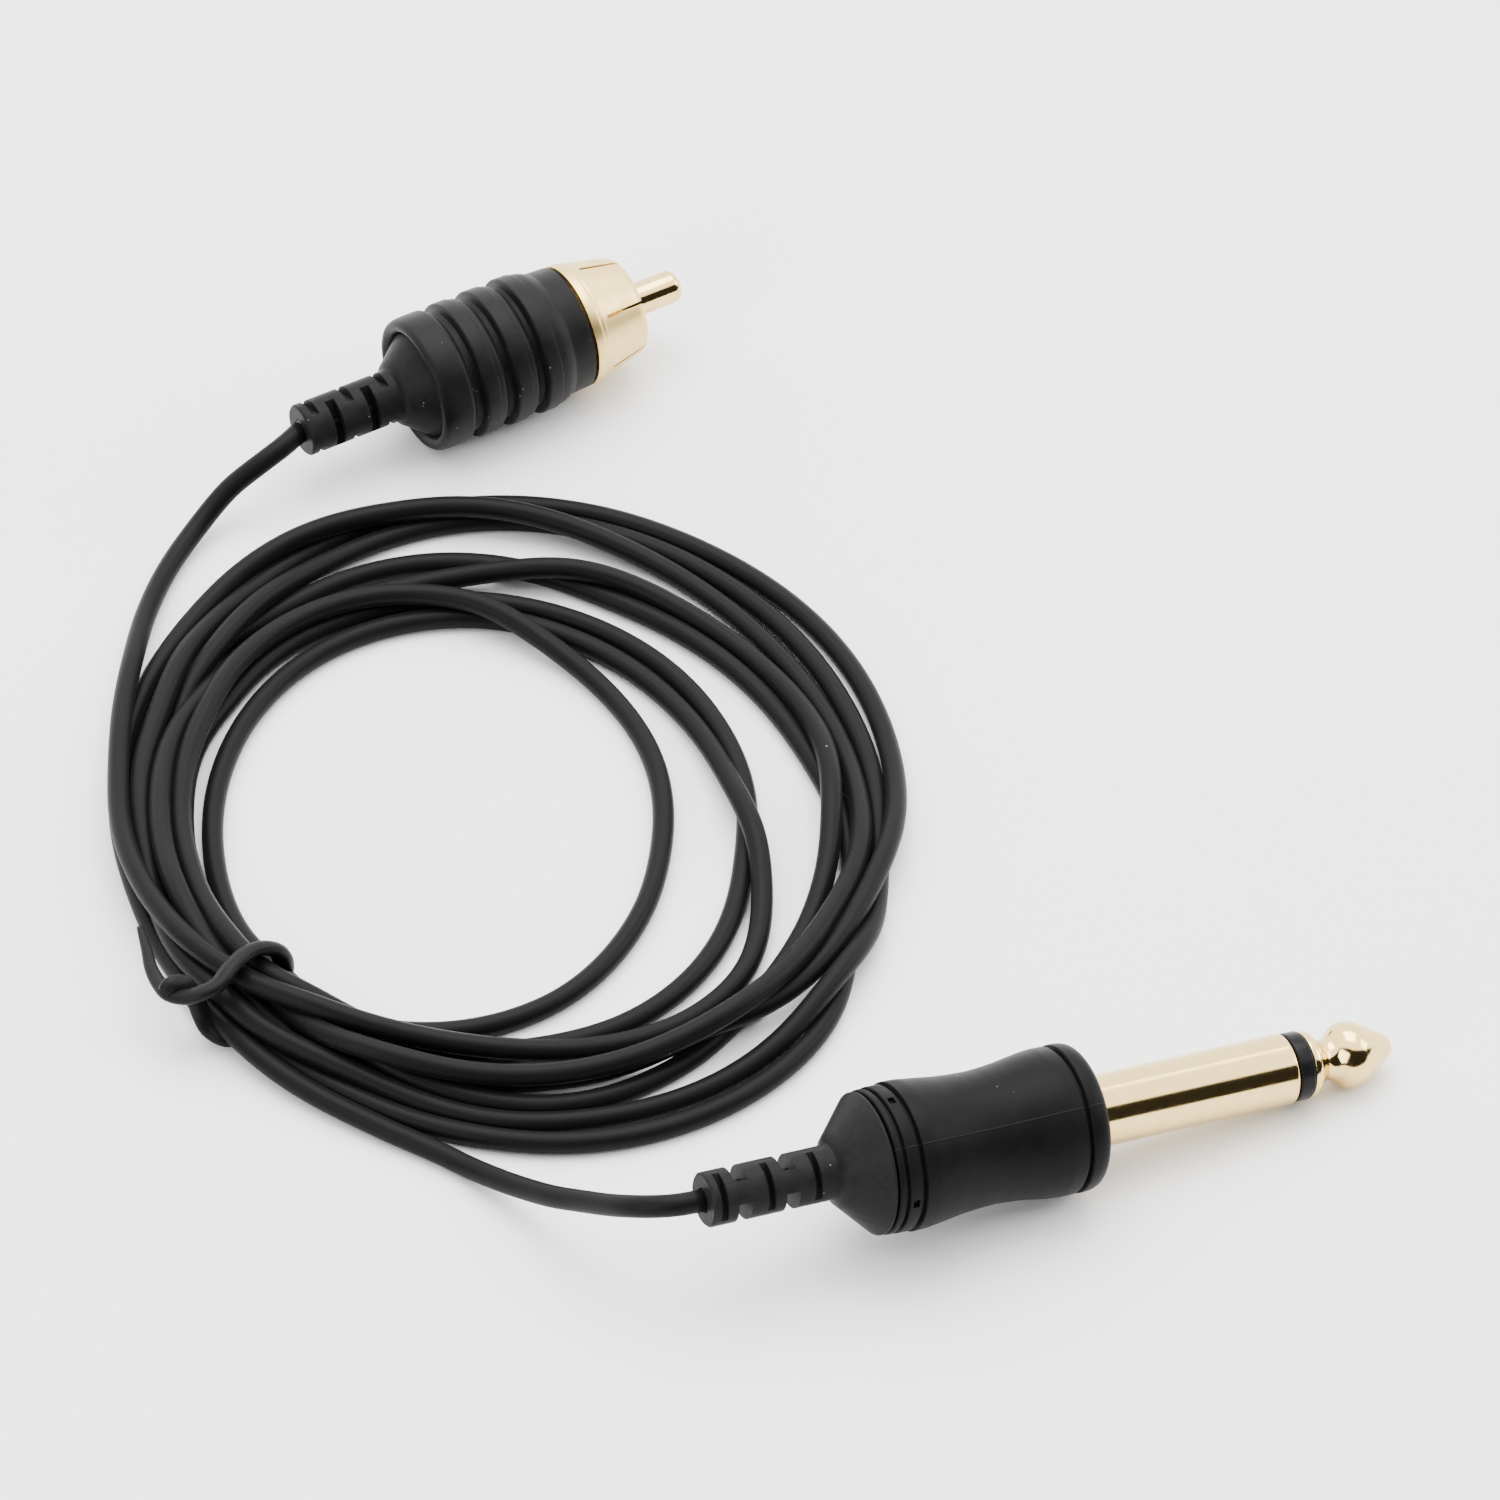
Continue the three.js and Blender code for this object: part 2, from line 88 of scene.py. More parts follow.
# each turn's radius every TURN_STEP degrees round the coil, and the layer it is laid in there
TURN_FROM, TURN_STEP = 250, 30
turns = [
    ([33.5, 33.1, 34.0, 24.3, 18.7, 18.6, 19.8, 22.9, 24.6, 24.7, 25.8], "11110000000"),
    ([32.6, 28.0, 20.0, 14.6, 12.8, 13.8, 17.0, 24.0, 28.1, 29.2, 29.6], "00000002222"),
    ([33.0, 33.4, 29.2, 23.2, 20.7, 21.0, 22.4, 25.0, 27.4, 28.8, 28.9], "00000000000"),
    ([36.8, 40.9, 35.0, 31.2, 29.2, 27.8, 27.9, 26.9, 28.9, 30.5, 31.0], "11111111111"),
    ([35.5, 36.5, 37.3, 35.6, 35.4, 35.6, 36.0, 36.9, 36.0, 30.8, 32.0], "11220000122"),
    ([37.8, 41.8, 41.0, 35.7, 32.8, 32.9, 34.4, 36.7, 31.3, 30.7, 30.6], "00111000011"),
    ([39.0, 44.7, 43.0, 34.0, 28.0, 25.8, 26.2, 30.8, 31.2, 31.1, 32.2], "00000000000"),
    ([36.6, 37.5, 36.9, 34.4, 31.4, 30.0, 33.4, 35.9, 36.4, 34.8, 33.6], "23333333321"),
]
# radius and height at which the cord passes the tie, before each turn and after the last
tie_pass = [
    (36.2, 5.6), (31.7, 2.4), (34.0, 5.6), (32.8, 4.0), (34.9, 4.0),
    (37.0, 4.0), (35.8, 2.4), (33.7, 2.4), (37.9, 2.4),
]
BUNDLE_FLOOR = 2.35  # the tie's wire lies under the bundle


def smooth_line(points, spacing, span_samples=30):
    """Evenly spaced points along a centripetal Catmull-Rom curve through the given ones."""
    p = np.array(points, float)
    p = np.vstack([2 * p[0] - p[1], p, 2 * p[-1] - p[-2]])
    rows = []
    for a, b, c, d in zip(p[:-3], p[1:-2], p[2:-1], p[3:]):
        t1 = np.linalg.norm(b - a) ** 0.5
        t2 = t1 + np.linalg.norm(c - b) ** 0.5
        t3 = t2 + np.linalg.norm(d - c) ** 0.5
        t = np.linspace(t1, t2, span_samples, endpoint=False)[:, None]
        ab = (t1 - t) / t1 * a + t / t1 * b
        bc = (t2 - t) / (t2 - t1) * b + (t - t1) / (t2 - t1) * c
        cd = (t3 - t) / (t3 - t2) * c + (t - t2) / (t3 - t2) * d
        abc = (t2 - t) / t2 * ab + t / t2 * bc
        bcd = (t3 - t) / (t3 - t1) * bc + (t - t1) / (t3 - t1) * cd
        rows.append((t2 - t) / (t2 - t1) * abc + (t - t1) / (t2 - t1) * bcd)
    line = np.vstack(rows + [p[-2][None]])
    along = np.r_[0, np.cumsum(np.linalg.norm(np.diff(line, axis=0), axis=1))]
    at = np.linspace(0, along[-1], int(round(along[-1] / spacing)) + 1)
    return np.stack([np.interp(at, along, line[:, i]) for i in range(3)], axis=1)


def on_coil(angle, radius, height):
    """The point at an angle in degrees and a radius from the coil's centre."""
    a = math.radians(angle)
    x, y = COIL_CENTRE + radius * np.array([math.cos(a), math.sin(a)])
    return (x, y, height)


path = list(phono_route)
for (radius, height), (radii, layers) in zip(tie_pass, turns):
    path.append(on_coil(TIE_ANGLE, radius, height))
    for i, (radius, layer) in enumerate(zip(radii, layers)):
        height = CORD_DIAMETER / 2 + LAYER_HEIGHT * int(layer)
        path.append(on_coil(TURN_FROM + TURN_STEP * i, radius, height))
path.append(on_coil(TIE_ANGLE, *tie_pass[-1]))
path += jack_route
# the ends of the part that is evened out, and of the part that is free to settle
EVEN_FROM, EVEN_TO = phono_route[6], jack_route[3]
FREE_FROM, FREE_TO = phono_route[7], jack_route[2]


def nearest(line, point):
    """The index of the line's point that lies nearest to the given one."""
    return np.argmin(np.linalg.norm(line - np.array(point), axis=1))


def even_out(values, reach):
    """A running average with a bell-shaped weight, the ends held."""
    weight = np.exp(-0.5 * (np.arange(-3 * reach, 3 * reach + 1) / reach) ** 2)
    weight /= weight.sum()
    padded = np.pad(values, 3 * reach, mode="reflect", reflect_type="odd")
    return np.convolve(padded, weight, mode="valid")


def soften(line, reach):
    """Evens out how far each turn swings in and out, without tightening the coil."""
    ease_in = 15
    first, last = nearest(line, EVEN_FROM), nearest(line, EVEN_TO)
    part = line[first:last + 1]
    out = part[:, :2] - COIL_CENTRE
    radius = np.linalg.norm(out, axis=1)
    smooth = even_out(radius, reach)
    height = even_out(part[:, 2], reach)
    index = np.arange(len(part))
    blend = np.clip(np.minimum(index, index[::-1]) / ease_in, 0, 1)
    radius_now = radius + blend * (smooth - radius)
    made = line.copy()
    made[first:last + 1, :2] = COIL_CENTRE + out * (radius_now / radius)[:, None]
    made[first:last + 1, 2] = part[:, 2] + blend * (height - part[:, 2])
    return made


def settle(start):
    """The turns drop on to the table and on each other, a diameter apart, and even out."""
    steps, fast_share = 500, 0.4
    fast_drop, slow_drop = 0.03, 0.012  # mm in each step
    ease_in = 12  # mm over which the fixed ends of the cord let go
    loose_hold, tie_hold = 0.02, 0.35  # pull back to the drawn route, in plan
    tie_height_hold = 0.5
    near_tie, tie_fade, over_wire = 1, 4, 3  # degrees either side of the tie
    stiffness, stiffening_rounds = 0.48, 4
    push_share, push_rounds = 0.3, 3
    apart_at_least = 1.01 * CORD_DIAMETER
    search_within, search_every = 1.6 * CORD_DIAMETER, 8
    own_stretch = 8  # points so near along the cord can't touch
    line = start.copy()
    index = np.arange(len(line))
    out = line[:, :2] - COIL_CENTRE
    angle = np.degrees(np.arctan2(out[:, 1], out[:, 0])) % 360
    from_tie = np.abs(angle - TIE_ANGLE)
    first, last = nearest(line, FREE_FROM), nearest(line, FREE_TO)
    free = np.clip(np.minimum(index - first, last - index) * SPACING / ease_in, 0, 1)
    at_tie = np.clip(1 - (from_tie - near_tie) / tie_fade, 0, 1) * (free > 0)
    plan_hold = loose_hold + (1 - loose_hold) * (1 - free)
    height_hold = np.maximum(1 - free, tie_height_hold * at_tie)
    floor = np.where(from_tie < over_wire, BUNDLE_FLOOR, CORD_DIAMETER / 2) * (free > 0)
    for step in range(steps):
        if step % search_every == 0:
            square = (line ** 2).sum(1)
            gap = square[:, None] + square[None] - 2 * line @ line.T
            i, j = np.nonzero(gap < search_within ** 2)
            far = j - i > own_stretch
            i, j = i[far], j[far]
        line[:, 2] -= fast_drop if step < fast_share * steps else slow_drop
        line[:, :2] += plan_hold[:, None] * (start[:, :2] - line[:, :2])
        line[:, :2] += tie_hold * at_tie[:, None] * (start[:, :2] - line[:, :2])
        line[:, 2] += height_hold * (start[:, 2] - line[:, 2])
        shift = line - start
        shift[:, 2] = line[:, 2]
        for _ in range(stiffening_rounds):
            middle = (shift[:-2] + shift[2:]) / 2
            shift[1:-1] += stiffness * (middle - shift[1:-1]) * free[1:-1, None]
        line[:, :2] = start[:, :2] + shift[:, :2]
        line[:, 2] = shift[:, 2]
        for _ in range(push_rounds):
            apart = line[i] - line[j]
            distance = np.linalg.norm(apart, axis=1)
            short = np.clip(apart_at_least - distance, 0, None)
            push = apart * (push_share * short / np.maximum(distance, 0.05))[:, None]
            moved = np.zeros_like(line)
            np.add.at(moved, i, push)
            np.add.at(moved, j, -push)
            line += moved * free[:, None]
            line[:, 2] = np.maximum(line[:, 2], floor)
    return line


def tube_mesh(name, line, radius, sides=18, flatten=1.0):
    """A closed tube along a line of points in mm, with a UV map in millimetres."""
    line = np.array(line, float)
    radius = np.broadcast_to(radius, len(line))
    ahead = np.gradient(line, axis=0)
    ahead /= np.linalg.norm(ahead, axis=1)[:, None]
    across = np.cross(ahead[0], (0, 0, 1.0))
    across /= np.linalg.norm(across)
    turn = np.linspace(0, 2 * math.pi, sides, endpoint=False)
    rings = []
    for point, direction, reach in zip(line, ahead, radius):
        across = across - direction * (across @ direction)
        across /= np.linalg.norm(across)
        up = np.cross(across, direction)
        ring = np.cos(turn)[:, None] * across + flatten * np.sin(turn)[:, None] * up
        rings.append(point + reach * ring)
    vertices = np.concatenate(rings) * MM
    count = len(line)
    faces = []
    for i in range(count - 1):
        for k in range(sides):
            n = (k + 1) % sides
            faces.append((i * sides + k, (i + 1) * sides + k, (i + 1) * sides + n, i * sides + n))
    faces.append(tuple(range(sides)))
    faces.append(tuple((count - 1) * sides + k for k in range(sides - 1, -1, -1)))
    mesh = bpy.data.meshes.new(name)
    mesh.from_pydata(vertices.tolist(), [], faces)
    along = np.r_[0, np.cumsum(np.linalg.norm(np.diff(line, axis=0), axis=1))]
    layer = mesh.uv_layers.new(name="UVMap")
    corners = np.zeros((len(mesh.loops), 2))
    c = 0
    for i in range(count - 1):
        for k in range(sides):
            for a, b in ((i, k), (i + 1, k), (i + 1, k + 1), (i, k + 1)):
                corners[c] = (along[a], b / sides * 2 * math.pi * radius.max())
                c += 1
    layer.data.foreach_set("uv", corners.ravel())
    mesh.shade_smooth()
    made = bpy.data.objects.new(name, mesh)
    bpy.context.collection.objects.link(made)
    return made


def linear(code):
    """Linear RGBA of an sRGB hex colour."""
    parts = [int(code[i:i + 2], 16) / 255 for i in (1, 3, 5)]
    return [c / 12.92 if c <= 0.04045 else ((c + 0.055) / 1.055) ** 2.4 for c in parts] + [1]


def add_node(tree, kind, settings=None, inputs=None):
    """Adds a node; an input is a number, a colour or another node's output."""
    node = tree.nodes.new(kind)
    for name, value in (settings or {}).items():
        setattr(node, name, value)
    for name, value in (inputs or {}).items():
        if isinstance(value, bpy.types.NodeSocket):
            tree.links.new(value, node.inputs[name])
        else:
            node.inputs[name].default_value = value
    return node


def new_material(name, **sockets):
    """A material with one Principled surface, whose sockets take the given values."""
    material = bpy.data.materials.new(name)
    material.use_nodes = True
    tree = material.node_tree
    tree.nodes.clear()
    surface = add_node(tree, "ShaderNodeBsdfPrincipled")
    for key, value in sockets.items():
        surface.inputs[key.replace("_", " ")].default_value = value
    add_node(tree, "ShaderNodeOutputMaterial", inputs={"Surface": surface.outputs["BSDF"]})
    return material, tree, surface


def dust(tree, vector, scale, share=0.35, size=0.1):
    """Sparse pale specks: a factor of 0.6 in a speck's middle and 0 off it."""
    cells = add_node(tree, "ShaderNodeTexVoronoi", inputs={"Vector": vector, "Scale": scale})
    chosen = add_node(tree, "ShaderNodeMath", {"operation": "LESS_THAN"},
                      {0: cells.outputs["Color"], 1: share})
    spot = add_node(tree, "ShaderNodeMapRange",
                    inputs={"Value": cells.outputs["Distance"], "From Min": 0.5 * size,
                            "From Max": size, "To Min": 0.6, "To Max": 0.0})
    return add_node(tree, "ShaderNodeMath", {"operation": "MULTIPLY"},
                    {0: spot.outputs["Result"], 1: chosen.outputs[0]}).outputs[0]


DUST_COLOUR = "#8f8f8c"


def mottled_finish(tree, surface, mottle, dark, pale, gloss_range, specks=None):
    """Colour from a mottled mix, with dust specks if given, and roughness from the same mottle."""
    tone = add_node(tree, "ShaderNodeMix", {"data_type": "RGBA"},
                    {"Factor": mottle, 6: linear(dark), 7: linear(pale)})
    colour = tone.outputs[2]
    if specks is not None:
        dusted = add_node(tree, "ShaderNodeMix", {"data_type": "RGBA"},
                          {"Factor": specks, 6: colour, 7: linear(DUST_COLOUR)})
        colour = dusted.outputs[2]
    tree.links.new(colour, surface.inputs["Base Color"])
    gloss = add_node(tree, "ShaderNodeMapRange",
                     inputs={"Value": mottle, "To Min": gloss_range[0], "To Max": gloss_range[1]})
    tree.links.new(gloss.outputs["Result"], surface.inputs["Roughness"])


def add_relief(tree, surface, height, strength, distance):
    """Bumps the surface by a height pattern; the distance is in metres."""
    relief = add_node(tree, "ShaderNodeBump",
                      inputs={"Height": height, "Strength": strength, "Distance": distance})
    tree.links.new(relief.outputs["Normal"], surface.inputs["Normal"])


# Extruded soft PVC: black, satin, with faint streaks along the cord and a fine matte skin.
cord_pvc, tree, surface = new_material(
    "cord_soft_pvc", Specular_IOR_Level=0.055, IOR=1.53, Sheen_Weight=0.01, Sheen_Roughness=0.5)
uv = add_node(tree, "ShaderNodeUVMap", {"uv_map": "UVMap"})
stretch = add_node(tree, "ShaderNodeMapping",
                   inputs={"Vector": uv.outputs["UV"], "Scale": (0.08, 1.6, 1.0)})
streaks = add_node(tree, "ShaderNodeTexNoise",
                   inputs={"Vector": stretch.outputs["Vector"], "Scale": 1.5, "Detail": 3.0})
skin = add_node(tree, "ShaderNodeTexNoise",
                inputs={"Vector": uv.outputs["UV"], "Scale": 5.0, "Detail": 4.0})
mottled_finish(tree, surface, streaks.outputs["Fac"], "#090909", "#121213", (0.34, 0.5),
               dust(tree, uv.outputs["UV"], 0.3, share=0.4, size=0.035))
add_relief(tree, surface, skin.outputs["Fac"], 0.12, 0.0001)

EVEN_DRAWN, EVEN_SETTLED = 8, 2  # points either side that are evened out, before and after
centreline = soften(settle(soften(smooth_line(path, SPACING), EVEN_DRAWN)), EVEN_SETTLED)
cord = tube_mesh("cord", centreline, CORD_DIAMETER / 2)
cord.data.materials.append(cord_pvc)
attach(cord, "cord")
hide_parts("phono_lead", "cord_coil", "jack_lead")

# ------------------------------------------------------------------ wire tie
# Plastic-coated iron strip, 1.9 by 1.3 mm, bent once round the bundle, crossed over itself and
# twisted half a turn on the outside, with one end laid back along the turns.
TIE_FLATNESS = 0.68
TIE_SPACING = 0.35
tie_turn = [
    # (angle, radius, height, half width) in order along the wire, from the laid-back end
    (214.1, 38.0, 5.2, 0.3), (217.9, 39.0, 5.2, 0.5), (221.3, 40.2, 5.3, 0.62),
    (224.3, 41.0, 5.5, 0.75), (226.7, 41.3, 5.8, 0.9), (228.9, 40.8, 6.2, 0.95),
    (230.3, 40.0, 6.7, 1.0), (231.3, 38.7, 7.1, 1.0), (230.9, 36.6, 7.45, 1.0),
    (230.6, 34.3, 7.3, 1.0), (231.1, 32.5, 6.7, 1.0), (231.8, 31.1, 5.5, 1.0),
    (232.0, 30.5, 4.1, 1.0), (231.6, 30.2, 2.5, 1.0), (231.4, 30.6, 1.2, 1.0),
    (231.8, 32.3, 0.8, 1.0), (232.4, 35.0, 0.75, 1.0), (232.9, 37.3, 0.8, 1.0),
    (232.6, 38.8, 1.1, 1.0), (230.3, 39.3, 1.7, 1.0), (229.0, 39.3, 2.9, 1.0),
    (228.4, 39.4, 4.2, 1.0), (227.7, 39.7, 5.5, 1.0), (227.0, 40.3, 6.4, 0.95),
    (226.6, 41.3, 6.7, 0.85), (226.4, 42.0, 6.3, 0.6),
]
tie_path = [on_coil(*p[:3]) for p in tie_turn]
tie_line = smooth_line(tie_path, TIE_SPACING)
given_at = [nearest(tie_line, p) for p in tie_path]
half_width = np.interp(np.arange(len(tie_line)), given_at, [p[3] for p in tie_turn])
tie = tube_mesh("wire_tie", tie_line, half_width, sides=16, flatten=TIE_FLATNESS)

# Coating of the wire: black PVC, a little glossier than the cord, scuffed where it was bent.
tie_pvc, tree, surface = new_material("tie_coating_pvc", Specular_IOR_Level=0.07, IOR=1.53)
coords = add_node(tree, "ShaderNodeTexCoord")
scuffs = add_node(tree, "ShaderNodeTexNoise",
                  inputs={"Vector": coords.outputs["Object"], "Scale": 900.0, "Detail": 4.0})
mottled_finish(tree, surface, scuffs.outputs["Fac"], "#0a0a0a", "#161617", (0.3, 0.5),
               dust(tree, coords.outputs["Object"], 400.0, size=0.06))
add_relief(tree, surface, scuffs.outputs["Fac"], 0.2, 0.0002)
tie.data.materials.append(tie_pvc)
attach(tie, "cord")
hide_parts("tie_loop", "tie_tail")

# ------------------------------------------------------------------ phono plug: grip
# Moulded rubber grip: a rounded lip behind, three raised bands with dark grooves between and a
# plain collar in front. Each band has a crisp rear edge and a fine step two thirds along.
PHONO = (Matrix.Translation((-23.8, 55.0, 6.6)) @ Matrix.Rotation(math.radians(30.2), 4, "Z"))


def rounded(profile, radius, steps=4):
    """The profile with a small arc at each corner; a third number is that corner's own radius."""
    most_of_side, too_small = 0.45, 1e-4
    p = [np.array(q[:2], float) for q in profile]
    sizes = [q[2] if len(q) > 2 else radius for q in profile]
    out = [p[0]]
    for i in range(1, len(p) - 1):
        a, b = p[i - 1] - p[i], p[i + 1] - p[i]
        la, lb = np.linalg.norm(a), np.linalg.norm(b)
        cut = min(sizes[i], most_of_side * la, most_of_side * lb)
        if cut < too_small:
            out.append(p[i])
            continue
        start, end = p[i] + a / la * cut, p[i] + b / lb * cut
        for t in np.linspace(0, 1, steps + 1):
            out.append((1 - t) ** 2 * start + 2 * t * (1 - t) * p[i] + t ** 2 * end)
    return out + [p[-1]]


def turned_piece(name, profile, segments=128, closed=False):
    """A piece turned about X from (distance, radius) in mm; closed joins last to first. The
    outline runs forwards along the outside, so that the faces point outwards."""
    points = [tuple(q) for q in profile]
    vertices, rings = [], []
    for along, radius in points:
        if radius < 1e-6:
            rings.append([len(vertices)])
            vertices.append((along, 0, 0))
            continue
        rings.append(list(range(len(vertices), len(vertices) + segments)))
        for k in range(segments):
            a = 2 * math.pi * k / segments
            vertices.append((along, radius * math.cos(a), radius * math.sin(a)))
    faces = []
    pairs = list(zip(rings[:-1], rings[1:]))
    if closed:
        pairs.append((rings[-1], rings[0]))
    for low, high in pairs:
        for k in range(segments):
            n = (k + 1) % segments
            corner = [low[k % len(low)], low[n % len(low)], high[n % len(high)], high[k % len(high)]]
            face = list(dict.fromkeys(corner))
            if len(face) > 2:
                faces.append(face)
    mesh = bpy.data.meshes.new(name)
    mesh.from_pydata(vertices, [], faces)
    made = bpy.data.objects.new(name, mesh)
    bpy.context.collection.objects.link(made)
    return made


def place_piece(piece, placement, material, sharp_degrees=35):
    """Keeps the piece's own millimetres as an attribute, then puts its mesh in the frame."""
    mesh = piece.data
    own = np.zeros(len(mesh.vertices) * 3)
    mesh.vertices.foreach_get("co", own)
    attribute = mesh.attributes.new("own_mm", "FLOAT_VECTOR", "POINT")
    attribute.data.foreach_set("vector", own)
    mesh.transform(placement_mm(placement))
    mesh.materials.clear()
    mesh.materials.append(material)
    mesh.shade_smooth()
    mesh.set_sharp_from_angle(angle=math.radians(sharp_degrees))
    return piece


def placement_mm(placement):
    """The placement of millimetre vertices in the frame's metres."""
    return Matrix.Scale(MM, 4) @ placement


grip_profile = rounded([
    (-15.2, 5.2), (-15.95, 5.22, 0.1), (-16.3, 5.4, 0.2), (-16.56, 5.8, 0.3), (-16.5, 6.2, 0.3),
    (-16.1, 6.48, 0.4), (-15.3, 6.56, 0.4), (-13.4, 6.55, 0.3), (-13.0, 5.9, 0.2),
    (-12.25, 5.85, 0.1), (-12.03, 6.61, 0.2), (-10.62, 6.58, 0.03), (-10.52, 6.44, 0.03),
    (-9.9, 6.42, 0.3), (-9.6, 5.9, 0.2), (-8.95, 5.85, 0.1), (-8.73, 6.64, 0.2),
    (-7.22, 6.61, 0.03), (-7.12, 6.47, 0.03), (-6.55, 6.45, 0.3), (-6.25, 5.9, 0.2),
    (-5.68, 5.87, 0.1), (-5.46, 6.69, 0.2), (-4.1, 6.65, 0.03), (-4.0, 6.51, 0.03),
    (-3.3, 6.48, 0.3), (-2.7, 6.26, 0.3), (-2.3, 6.05, 0.12), (-0.15, 5.95, 0.12),
    (-0.12, 5.2, 0.02), (-3.0, 5.2),
], 0.1)
phono_grip = turned_piece("phono_grip_moulded", grip_profile, closed=True)

# Thermoplastic rubber: dull black with a fine moulded grain and a few pale dust specks.
grip_rubber, tree, surface = new_material(
    "grip_thermoplastic_rubber", Specular_IOR_Level=0.09, IOR=1.5, Sheen_Weight=0.01,
    Sheen_Roughness=0.4)
own = add_node(tree, "ShaderNodeAttribute", {"attribute_name": "own_mm"})
grain = add_node(tree, "ShaderNodeTexNoise",
                 inputs={"Vector": own.outputs["Vector"], "Scale": 7.0, "Detail": 3.0})
patches = add_node(tree, "ShaderNodeTexNoise",
                   inputs={"Vector": own.outputs["Vector"], "Scale": 0.6, "Detail": 2.0})
mottled_finish(tree, surface, patches.outputs["Fac"], "#0a0a0a", "#131314", (0.36, 0.52),
               dust(tree, own.outputs["Vector"], 0.9, size=0.08))
add_relief(tree, surface, grain.outputs["Fac"], 0.25, 0.0001)
place_piece(phono_grip, PHONO, grip_rubber)
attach(phono_grip, "phono_plug")
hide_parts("phono_grip")

# ------------------------------------------------------------------ phono plug: shell
# Turned brass shell, gold plated: a bright rim against the grip, a machined band and a taper
# that six saw cuts split into spring fingers.
SHELL_BORE = 4.2
SHELL_SLOTS = 6
SLOT_WIDTH = 0.32
SLOT_TURN = math.radians(19)
shell_profile = rounded([
    (-6.0, SHELL_BORE), (-6.0, 4.9), (0.15, 4.9), (0.15, 5.95, 0.06), (1.0, 5.95, 0.08),
    (1.12, 5.82, 0.03), (1.5, 5.78, 0.05), (1.6, 5.72, 0.05), (5.75, 4.8, 0.3),
    (6.25, 4.45, 0.2), (6.2, SHELL_BORE, 0.05), (3.0, SHELL_BORE), (0.0, SHELL_BORE),
], 0.05)
shell = turned_piece("phono_shell_turned", shell_profile, closed=True)


def cutter_tree(name, inputs):
    """Geometry Nodes: a new tree that takes a piece, the named inputs and a finish."""
    tree = bpy.data.node_groups.new(name, "GeometryNodeTree")
    face = tree.interface
    face.new_socket("Geometry", in_out="INPUT", socket_type="NodeSocketGeometry")
    for label, kind in inputs + (("Finish", "NodeSocketMaterial"),):
        face.new_socket(label, in_out="INPUT", socket_type=kind)
    face.new_socket("Geometry", in_out="OUTPUT", socket_type="NodeSocketGeometry")
    return tree, add_node(tree, "NodeGroupInput").outputs


def cut_away(tree, given, cutters):
    """Ends the tree: the cutters, made real, are cut out of the piece and the finish put on."""
    real = add_node(tree, "GeometryNodeRealizeInstances", inputs={"Geometry": cutters})
    cut = add_node(tree, "GeometryNodeMeshBoolean", {"operation": "DIFFERENCE", "solver": "EXACT"},
                   {"Mesh 1": given["Geometry"], "Mesh 2": real.outputs[0]})
    painted = add_node(tree, "GeometryNodeSetMaterial",
                       inputs={"Geometry": cut.outputs["Mesh"], "Material": given["Finish"]})
    add_node(tree, "NodeGroupOutput", inputs={"Geometry": painted.outputs[0]})


def ring_of_cuts(name):
    """Geometry Nodes: boxes in a ring round X, cut out of the piece."""
    tree, given = cutter_tree(name, (
        ("Count", "NodeSocketInt"), ("Turn", "NodeSocketFloat"),
        ("Box size", "NodeSocketVector"), ("Box place", "NodeSocketVector")))
    block = add_node(tree, "GeometryNodeMeshCube", inputs={"Size": given["Box size"]})
    outward = add_node(tree, "GeometryNodeTransform",
                       inputs={"Geometry": block.outputs["Mesh"],
                               "Translation": given["Box place"]})
    spots = add_node(tree, "GeometryNodePoints", inputs={"Count": given["Count"]})
    number = add_node(tree, "GeometryNodeInputIndex")
    share = add_node(tree, "ShaderNodeMath", {"operation": "DIVIDE"},
                     {0: number.outputs["Index"], 1: given["Count"]})
    whole = add_node(tree, "ShaderNodeMath", {"operation": "MULTIPLY_ADD"},
                     {0: share.outputs[0], 1: 2 * math.pi, 2: given["Turn"]})
    twist = add_node(tree, "ShaderNodeCombineXYZ", inputs={"X": whole.outputs[0]})
    boxes = add_node(tree, "GeometryNodeInstanceOnPoints",
                     inputs={"Points": spots.outputs[0], "Instance": outward.outputs[0],
                             "Rotation": twist.outputs["Vector"]})
    cut_away(tree, given, boxes.outputs["Instances"])
    return tree


def apply_nodes(piece, tree, values):
    """Runs a node tree on the piece and keeps the result as its plain mesh."""
    modifier = piece.modifiers.new(tree.name, "NODES")
    modifier.node_group = tree
    sockets = {s.name: s.identifier for s in tree.interface.items_tree
               if s.item_type == "SOCKET" and s.in_out == "INPUT"}
    for label, value in values.items():
        modifier[sockets[label]] = value
    bpy.context.view_layer.update()
    made = bpy.data.meshes.new_from_object(
        piece.evaluated_get(bpy.context.evaluated_depsgraph_get()))
    piece.modifiers.remove(modifier)
    piece.data = made


def gold_finish(name, gloss_range, ring_strength):
    """Pale champagne gold with fine lathe rings, slightly dulled in patches."""
    material, tree, surface = new_material(name, Metallic=1.0)
    own = add_node(tree, "ShaderNodeAttribute", {"attribute_name": "own_mm"})
    split = add_node(tree, "ShaderNodeSeparateXYZ", inputs={"Vector": own.outputs["Vector"]})
    rings = add_node(tree, "ShaderNodeTexNoise", {"noise_dimensions": "1D"},
                     {"W": split.outputs["X"], "Scale": 9.0, "Detail": 3.0})
    dull = add_node(tree, "ShaderNodeTexNoise",
                    inputs={"Vector": own.outputs["Vector"], "Scale": 0.8, "Detail": 4.0})
    mottled_finish(tree, surface, dull.outputs["Fac"], "#eed291", "#dfbd75", gloss_range,
                   dust(tree, own.outputs["Vector"], 0.6, size=0.05))
    add_relief(tree, surface, rings.outputs["Fac"], ring_strength, 0.0001)
    return material


